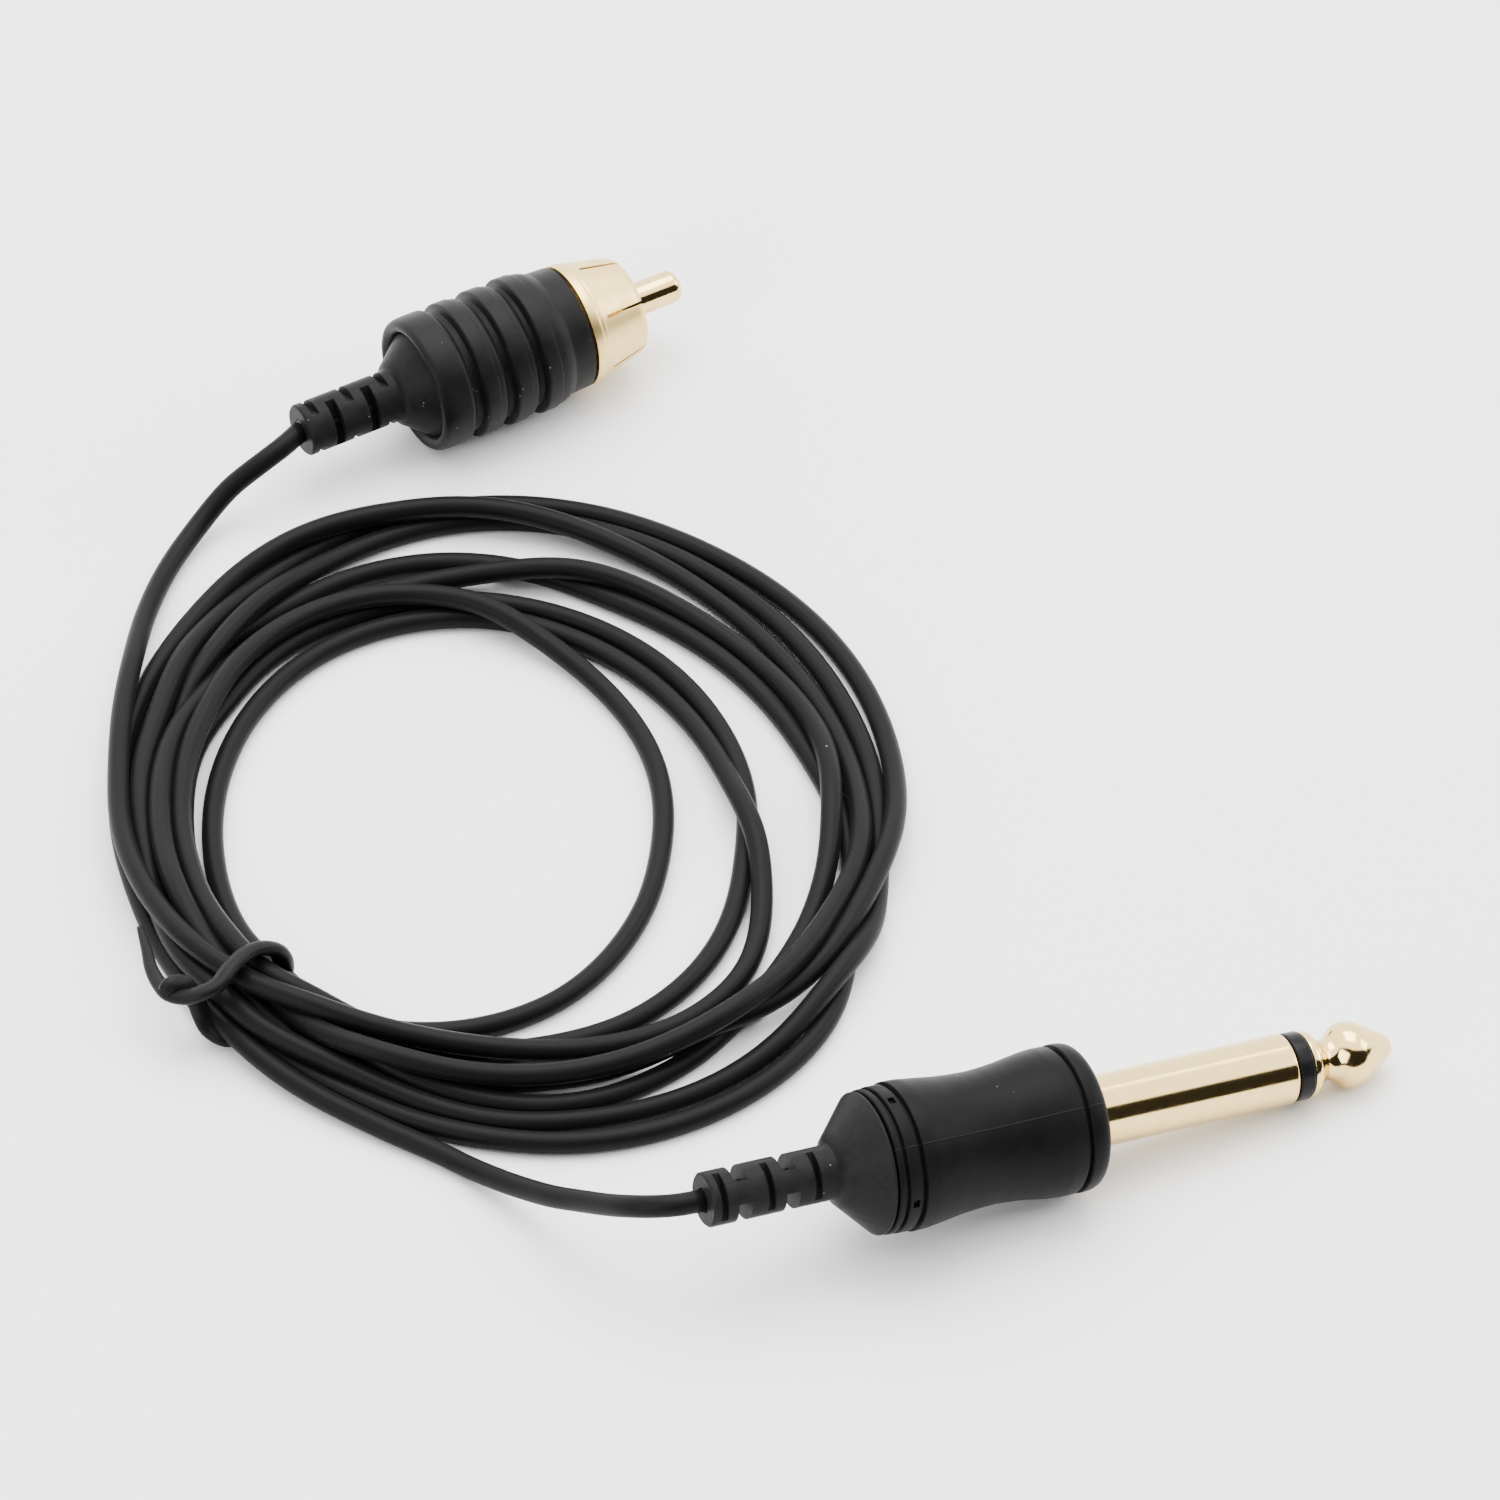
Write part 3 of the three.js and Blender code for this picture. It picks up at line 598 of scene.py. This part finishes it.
gold_plate = gold_finish("gold_plate_on_turned_brass", (0.07, 0.15), 0.05)
satin_gold = gold_finish("satin_gold_plate_on_brass", (0.3, 0.42), 0.1)

cut_ring = ring_of_cuts("ring_of_cuts")
apply_nodes(shell, cut_ring, {
    "Count": SHELL_SLOTS, "Turn": SLOT_TURN, "Box size": (5.4, 3.2, SLOT_WIDTH),
    "Box place": (4.7, 5.3, 0.0), "Finish": satin_gold})
place_piece(shell, PHONO, satin_gold)
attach(shell, "phono_plug")
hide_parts("phono_shell")

# ------------------------------------------------------------------ phono plug: pin
# Solid turned pin, gold plated, with a softly rounded nose, in a pale insulating disc.
PIN_RADIUS = 1.6
pin = turned_piece("phono_pin_turned", rounded([
    (-8.4, 0), (-8.4, 1.1), (-3.4, 1.1), (-3.4, PIN_RADIUS), (11.3, PIN_RADIUS, 0.5),
    (11.75, 1.25, 0.4), (11.93, 0.6, 0.3), (11.95, 0),
], 0.08), segments=96)
place_piece(pin, PHONO, gold_plate)
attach(pin, "phono_plug")
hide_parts("phono_centre_pin")

disc = turned_piece("phono_insulating_disc", rounded([
    (-3.2, 1.9), (-3.2, 3.9), (1.2, 3.9, 0.15), (1.2, 3.2, 0.1), (0.9, 3.0, 0.1),
    (0.9, 2.3, 0.1), (1.2, 2.1, 0.1), (1.2, 1.9, 0.1), (0.0, 1.9),
], 0.1), closed=True)
# Moulded polyethylene: milky, waxy, slightly uneven.
polyethylene, tree, surface = new_material(
    "insulator_moulded_polyethylene", IOR=1.51, Subsurface_Weight=0.15, Subsurface_Scale=0.001)
own = add_node(tree, "ShaderNodeAttribute", {"attribute_name": "own_mm"})
cloud = add_node(tree, "ShaderNodeTexNoise",
                 inputs={"Vector": own.outputs["Vector"], "Scale": 1.2, "Detail": 3.0})
mottled_finish(tree, surface, cloud.outputs["Fac"], "#e4e1d6", "#cfcbbd", (0.35, 0.5))
place_piece(disc, PHONO, polyethylene)
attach(disc, "phono_plug")
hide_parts("phono_insulator")

# ------------------------------------------------------------------ phono plug: boot
# Moulded strain relief: a cone seated in the back of the grip and a straight tail whose side
# and top cuts alternate so that it bends both ways.


def row_of_cuts(name):
    """Geometry Nodes: pairs of facing slabs, spaced evenly along X, cut out of the piece."""
    tree, given = cutter_tree(name, (
        ("Count", "NodeSocketInt"), ("First", "NodeSocketFloat"), ("Pitch", "NodeSocketFloat"),
        ("Width", "NodeSocketFloat"), ("Core", "NodeSocketFloat"), ("Turn", "NodeSocketFloat")))
    reach = 8.0
    size = add_node(tree, "ShaderNodeCombineXYZ",
                    inputs={"X": given["Width"], "Y": reach, "Z": reach})
    slab = add_node(tree, "GeometryNodeMeshCube", inputs={"Size": size.outputs["Vector"]})
    half = add_node(tree, "ShaderNodeMath", {"operation": "MULTIPLY_ADD"},
                    {0: given["Core"], 1: 0.5, 2: reach / 2})
    turn = add_node(tree, "ShaderNodeCombineXYZ", inputs={"X": given["Turn"]})
    sides = []
    for sign in (1.0, -1.0):
        out = add_node(tree, "ShaderNodeMath", {"operation": "MULTIPLY"},
                       {0: half.outputs[0], 1: sign})
        shift = add_node(tree, "ShaderNodeCombineXYZ", inputs={"Y": out.outputs[0]})
        moved = add_node(tree, "GeometryNodeTransform",
                         inputs={"Geometry": slab.outputs["Mesh"],
                                 "Translation": shift.outputs["Vector"]})
        sides.append(moved.outputs[0])
    both = add_node(tree, "GeometryNodeJoinGeometry")
    for side in sides:
        tree.links.new(side, both.inputs[0])
    turned = add_node(tree, "GeometryNodeTransform",
                      inputs={"Geometry": both.outputs[0], "Rotation": turn.outputs["Vector"]})
    start = add_node(tree, "ShaderNodeCombineXYZ", inputs={"X": given["First"]})
    step = add_node(tree, "ShaderNodeCombineXYZ", inputs={"X": given["Pitch"]})
    row = add_node(tree, "GeometryNodeMeshLine",
                   inputs={"Count": given["Count"], "Start Location": start.outputs["Vector"],
                           "Offset": step.outputs["Vector"]})
    slabs = add_node(tree, "GeometryNodeInstanceOnPoints",
                     inputs={"Points": row.outputs["Mesh"], "Instance": turned.outputs[0]})
    cut_away(tree, given, slabs.outputs["Instances"])
    return tree


# Flexible PVC: satin black with a faint moulded ripple.
boot_pvc, tree, surface = new_material("boot_flexible_pvc", Specular_IOR_Level=0.04, IOR=1.53)
own = add_node(tree, "ShaderNodeAttribute", {"attribute_name": "own_mm"})
ripple = add_node(tree, "ShaderNodeTexNoise",
                  inputs={"Vector": own.outputs["Vector"], "Scale": 1.3, "Detail": 5.0})
mottled_finish(tree, surface, ripple.outputs["Fac"], "#121212", "#1f1f20", (0.32, 0.5),
               dust(tree, own.outputs["Vector"], 0.8, size=0.07))
add_relief(tree, surface, ripple.outputs["Fac"], 0.15, 0.0002)

PHONO_MOUTH, PHONO_BEND_END = -28.4, -20.6
BOOT_BORE = 1.12
PHONO_CUTS = ((66.0, 1.15, 3.68, 3, 0.75, 3.3), (156.0, 3.0, 3.7, 2, 0.95, 2.1))
cut_row = row_of_cuts("row_of_cuts")


def boot_piece(name, mouth, radius, cone_start, cone_end, cone_radius, rows):
    """A boot with its cuts. A row is (turn in degrees, first cut from the mouth, pitch, count,
    cut width, core left between two facing cuts)."""
    mouth_edge, ring_spacing, first_ring, last_ring = 0.18, 0.6, 0.4, 0.3
    step_length, step_height = 0.35, 0.12
    tail = [x for x in np.arange(mouth, cone_start, ring_spacing) if x > mouth + first_ring]
    foot = radius + step_height
    profile = [(mouth, BOOT_BORE), (mouth, radius - mouth_edge), (mouth + mouth_edge, radius)]
    profile += [(x, radius) for x in tail]
    profile += [(cone_start, radius), (cone_start + step_length, foot)]
    for share in np.linspace(0.15, 1, 8):
        profile.append((cone_start + share * (cone_end - cone_start),
                        foot + share * (cone_radius - foot)))
    profile += [(cone_end + 0.2, cone_radius), (cone_end + last_ring, cone_radius - 0.15),
                (cone_end + last_ring, BOOT_BORE)]
    profile += [(x, BOOT_BORE) for x in tail[::-1]]
    boot = turned_piece(name, profile, segments=96, closed=True)
    for turn, first, pitch, count, width, core in rows:
        apply_nodes(boot, cut_row, {
            "Count": count, "First": mouth + first, "Pitch": pitch, "Width": width,
            "Core": core, "Turn": math.radians(turn), "Finish": boot_pvc})
    return boot


phono_boot = boot_piece("phono_boot_moulded", PHONO_MOUTH, radius=2.5, cone_start=-19.1,
                        cone_end=-15.95, cone_radius=5.13, rows=PHONO_CUTS)
place_piece(phono_boot, PHONO, boot_pvc)
phono_bend = [tuple(placement_mm(PHONO) @ Vector((x, 0, 0)))
              for x in (PHONO_MOUTH, PHONO_BEND_END)]
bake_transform(phono_boot)
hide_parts("phono_strain_relief")

# ------------------------------------------------------------------ jack plug: grip
# Moulded grip of the 6.35 mm plug: two narrow bands behind, the rear one with a ring of small
# windows, a long waist to hold, a groove and the rounded front flange.
JACK = (Matrix.Translation((22.24, -45.78, 6.374)) @ Matrix.Rotation(math.radians(23.74), 4, "Z")
        @ Matrix.Rotation(math.radians(7.58), 4, "Y"))
waist = [
    (-17.95, 6.6), (-16.7, 6.57), (-15.6, 6.42), (-14.4, 6.26), (-13.3, 6.1), (-12.2, 6.0),
    (-11.1, 5.93), (-9.7, 5.9), (-8.3, 5.98), (-7.1, 6.11), (-6.0, 6.28), (-4.9, 6.45),
    (-3.8, 6.57), (-2.5, 6.55),
]
jack_profile = rounded([
    (-20.5, 5.6), (-20.5, 6.0, 0.1), (-20.42, 6.38, 0.15), (-19.92, 6.4, 0.1),
    (-19.85, 6.05, 0.05), (-19.6, 6.05, 0.05), (-19.52, 6.46, 0.12), (-18.38, 6.46, 0.1),
    (-18.3, 6.08, 0.05), (-18.05, 6.08, 0.05), (-17.96, 6.58, 0.15)] + waist + [
    (-2.36, 6.1, 0.08), (-2.12, 6.1, 0.08), (-2.0, 6.59, 0.15), (-1.2, 6.59, 0.4),
    (-0.55, 6.4, 0.4), (-0.15, 5.95, 0.3), (0.0, 5.4, 0.2), (0.0, 3.4), (-2.2, 3.4), (-2.2, 5.6),
], 0.12)
jack_grip = turned_piece("jack_grip_moulded", jack_profile, closed=True)

# Moulded ABS: satin black with a fine spark-eroded grain, a few pale specks and the mould's
# parting line, which shows as a faint ridge along the handle.
PARTING_TURN = math.radians(127)
PARTING_HALF = 0.12
handle_abs, tree, surface = new_material("handle_moulded_abs", Specular_IOR_Level=0.045, IOR=1.54)
own = add_node(tree, "ShaderNodeAttribute", {"attribute_name": "own_mm"})
grain = add_node(tree, "ShaderNodeTexNoise",
                 inputs={"Vector": own.outputs["Vector"], "Scale": 9.0, "Detail": 3.0})
flow = add_node(tree, "ShaderNodeTexNoise",
                inputs={"Vector": own.outputs["Vector"], "Scale": 0.35, "Detail": 3.0})
aside = add_node(tree, "ShaderNodeVectorMath", {"operation": "DOT_PRODUCT"},
                 {0: own.outputs["Vector"],
                  1: (0, -math.sin(PARTING_TURN), math.cos(PARTING_TURN))})
distance = add_node(tree, "ShaderNodeMath", {"operation": "ABSOLUTE"}, {0: aside.outputs["Value"]})
ridge = add_node(tree, "ShaderNodeMapRange", {"interpolation_type": "SMOOTHSTEP"},
                 {"Value": distance.outputs[0], "From Min": 0.0, "From Max": PARTING_HALF,
                  "To Min": 1.0, "To Max": 0.0})
uneven = add_node(tree, "ShaderNodeMath", {"operation": "MULTIPLY_ADD"},
                  {0: grain.outputs["Fac"], 1: 0.2, 2: ridge.outputs["Result"]})
specks = dust(tree, own.outputs["Vector"], 0.7, size=0.07)
# The colour is a little paler along the parting line, and pale at the dust specks.
ridge_and_specks = add_node(tree, "ShaderNodeMath", {"operation": "MULTIPLY_ADD"},
                {0: ridge.outputs["Result"], 1: 0.015, 2: specks})
mottled_finish(tree, surface, flow.outputs["Fac"], "#090909", "#121213", (0.34, 0.48),
               ridge_and_specks.outputs[0])
add_relief(tree, surface, uneven.outputs[0], 0.3, 0.0001)

WINDOWS = 4
WINDOW_TURN = math.radians(84)
apply_nodes(jack_grip, cut_ring, {
    "Count": WINDOWS, "Turn": WINDOW_TURN, "Box size": (0.6, 1.4, 0.8),
    "Box place": (-18.95, 6.8, 0.0), "Finish": handle_abs})
place_piece(jack_grip, JACK, handle_abs)
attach(jack_grip, "jack_plug")
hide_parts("jack_grip")

# ------------------------------------------------------------------ jack plug: contacts
# Gold-plated ground sleeve, a black insulating ring, and the tip turned in one with its rod.
sleeve = turned_piece("jack_sleeve_turned", rounded([
    (-6.0, 2.5), (-6.0, 5.0), (-2.5, 5.0), (-2.5, 3.175), (19.65, 3.175, 0.15),
    (19.85, 3.0, 0.1), (19.85, 2.5), (10.0, 2.5),
], 0.05), segments=160, closed=True)
place_piece(sleeve, JACK, gold_plate)
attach(sleeve, "jack_plug")
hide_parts("jack_sleeve")

ring = turned_piece("jack_insulating_ring", rounded([
    (19.95, 1.5), (19.95, 2.95, 0.05), (20.05, 3.08, 0.1), (21.3, 3.08, 0.1),
    (21.4, 2.95, 0.05), (21.4, 1.5), (20.5, 1.5),
], 0.05), closed=True)
# Moulded nylon ring: glossy black.
black_nylon, tree, surface = new_material("ring_moulded_nylon", Specular_IOR_Level=0.08, IOR=1.53)
own = add_node(tree, "ShaderNodeAttribute", {"attribute_name": "own_mm"})
cloud = add_node(tree, "ShaderNodeTexNoise",
                 inputs={"Vector": own.outputs["Vector"], "Scale": 2.0, "Detail": 3.0})
mottled_finish(tree, surface, cloud.outputs["Fac"], "#0b0b0c", "#161617", (0.2, 0.32))
place_piece(ring, JACK, black_nylon)
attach(ring, "jack_plug")
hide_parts("jack_insulator_ring")

tip = turned_piece("jack_tip_turned", rounded([
    (-12.0, 0), (-12.0, 1.2), (21.5, 1.2), (21.5, 2.95, 0.1), (22.15, 2.92, 0.3),
    (22.6, 2.45, 0.3), (23.1, 1.95, 0.3), (23.7, 1.8, 0.3), (24.2, 2.0, 0.3), (24.7, 2.5, 0.25),
    (25.2, 2.85, 0.25), (25.8, 2.97, 0.25), (26.4, 2.94, 0.25), (27.1, 2.66, 0.25),
    (28.1, 2.08, 0.3), (29.1, 1.48, 0.3), (29.8, 1.02, 0.3), (30.12, 0.62, 0.2),
    (30.2, 0.2, 0.1), (30.2, 0),
], 0.1), segments=128)
place_piece(tip, JACK, gold_plate)
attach(tip, "jack_plug")
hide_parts("jack_tip")

# ------------------------------------------------------------------ jack plug: boot
# The same kind of boot, longer: a wide 46 degree cone and five alternating cuts.
JACK_MOUTH, JACK_BEND_END = -36.2, -25.8
JACK_CUTS = ((44.3, 2.95, 4.5, 2, 1.25, 2.0), (134.3, 1.05, 4.42, 3, 0.65, 2.5))
jack_boot = boot_piece("jack_boot_moulded", JACK_MOUTH, radius=2.42, cone_start=-24.65,
                       cone_end=-20.95, cone_radius=6.3, rows=JACK_CUTS)
place_piece(jack_boot, JACK, boot_pvc)
jack_bend = [tuple(placement_mm(JACK) @ Vector((x, 0, 0))) for x in (JACK_MOUTH, JACK_BEND_END)]
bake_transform(jack_boot)
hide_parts("jack_strain_relief")

# ------------------------------------------------------------------ inside the plugs
# The ends of the cord and its solder joints, seen only with the grips off: jacket, insulated
# core, stranded conductor and twisted braid.


def inner_material(name, scale, dark, pale, gloss_range, detail=3.0, **sockets):
    """The mottled finish of a hidden piece, on the frame's own coordinates in metres."""
    material, tree, surface = new_material(name, **sockets)
    coords = add_node(tree, "ShaderNodeTexCoord")
    mottle = add_node(tree, "ShaderNodeTexNoise",
                      inputs={"Vector": coords.outputs["Object"], "Scale": scale,
                              "Detail": detail})
    mottled_finish(tree, surface, mottle.outputs["Fac"], dark, pale, gloss_range)
    return material


# Foamed polyethylene insulation: white, slightly waxy.
core_pe = inner_material(
    "core_foamed_polyethylene", 2500.0, "#efece4", "#d9d5c9", (0.4, 0.55), IOR=1.51)
# Bare copper strands: bright, a little oxidised between them.
copper = inner_material(
    "conductor_bare_copper", 6000.0, "#d98a63", "#8e4a30", (0.25, 0.5), detail=2.0, Metallic=1.0)
# Stamped terminals with a thin gold flash, unevenly dulled.
terminal_gold = inner_material(
    "terminal_gold_flash", 900.0, "#dccb9c", "#bda775", (0.2, 0.45), detail=4.0, Metallic=1.0)
# Moulded polypropylene: milky, semi-matt.
moulded_pp = inner_material(
    "inner_moulded_polypropylene", 700.0, "#dedbd0", "#c4c0b2", (0.4, 0.6), IOR=1.49)
# The cord's own PVC inside the plugs, where it was handled: black, a little paler.
jacket_skin = inner_material(
    "cord_end_soft_pvc", 1500.0, "#161618", "#262628", (0.36, 0.52), IOR=1.53)

kept_finish = {
    "phono_ground_lug": terminal_gold, "phono_inner_moulding": moulded_pp,
    "phono_braid_tail": copper, "jack_inner_sleeve": moulded_pp,
    "jack_rear_washer": moulded_pp, "jack_tip_terminal": terminal_gold,
    "jack_sleeve_terminal": terminal_gold, "jack_inner_moulding": moulded_pp,
    "jack_braid_tail": copper,
}
for node_name, material in kept_finish.items():
    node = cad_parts[node_name]
    node.data.materials.clear()
    node.data.materials.append(material)

layers = (("cord_end", jacket_skin, "cord_jacket"), ("core", core_pe, "core_insulation"),
          ("conductor", copper, "copper"))
for plug, bend in (("phono", phono_bend), ("jack", jack_bend)):
    for layer, material, slot_name in layers:
        node_name = f"{plug}_{layer}"
        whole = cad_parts[node_name].data.copy()
        piece = bpy.data.objects.new(f"{node_name}_flexible", whole)
        bpy.context.collection.objects.link(piece)
        whole.materials.clear()
        whole.materials.append(material)
        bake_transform(piece)
        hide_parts(node_name)

# ------------------------------------------------------------------ floor and light
# A white paper sweep and a white backdrop, with three soft boxes round the object.
HALF_FLOOR = 3.0
BACKDROP_STRENGTH = 3.6
DARK_BELOW, WHITE_ABOVE = 0.23, 0.29  # along the direction from the near floor to the far top
floor_mesh = bpy.data.meshes.new("floor")
floor_mesh.from_pydata([(-HALF_FLOOR, -HALF_FLOOR, 0), (HALF_FLOOR, -HALF_FLOOR, 0),
                        (HALF_FLOOR, HALF_FLOOR, 0), (-HALF_FLOOR, HALF_FLOOR, 0)],
                       [], [(0, 1, 2, 3)])
floor = bpy.data.objects.new("floor", floor_mesh)
bpy.context.collection.objects.link(floor)
paper, tree, surface = new_material(
    "white_paper", Base_Color=linear("#f3f3f3"), Roughness=0.9)
floor_mesh.materials.append(paper)

world = bpy.data.worlds.new("studio")
bpy.context.scene.world = world
world.use_nodes = True
tree = world.node_tree
tree.nodes.clear()
# White backdrop behind and above, a dark room low down on the near side.
coords = add_node(tree, "ShaderNodeTexCoord")
toward_backdrop = add_node(tree, "ShaderNodeVectorMath", {"operation": "DOT_PRODUCT"},
                           {0: coords.outputs["Generated"], 1: (0.0, 0.7, 0.7)})
ramp = add_node(tree, "ShaderNodeValToRGB", inputs={"Fac": toward_backdrop.outputs["Value"]})
ramp.color_ramp.elements[0].position = DARK_BELOW
ramp.color_ramp.elements[0].color = (0.01, 0.01, 0.01, 1)
ramp.color_ramp.elements[1].position = WHITE_ABOVE
ramp.color_ramp.elements[1].color = (1, 1, 1, 1)
sky = add_node(tree, "ShaderNodeBackground",
               inputs={"Color": ramp.outputs["Color"], "Strength": BACKDROP_STRENGTH})
add_node(tree, "ShaderNodeOutputWorld", inputs={"Surface": sky.outputs["Background"]})


def soft_box(name, place, size, watts):
    """A rectangular soft box that faces the middle of the floor."""
    light = bpy.data.lights.new(name, "AREA")
    light.shape = "RECTANGLE"
    light.size, light.size_y = size
    light.energy = watts
    lamp = bpy.data.objects.new(name, light)
    bpy.context.collection.objects.link(lamp)
    lamp.location = place
    lamp.rotation_euler = (-Vector(place)).to_track_quat("-Z", "Y").to_euler()


soft_box("overhead_box", (0.0, 0.35, 1.0), size=(1.0, 0.8), watts=18)
soft_box("front_left_box", (-0.75, -0.8, 0.5), size=(0.7, 0.7), watts=10.5)
soft_box("right_box", (1.1, 0.2, 0.6), size=(0.6, 0.6), watts=6.5)
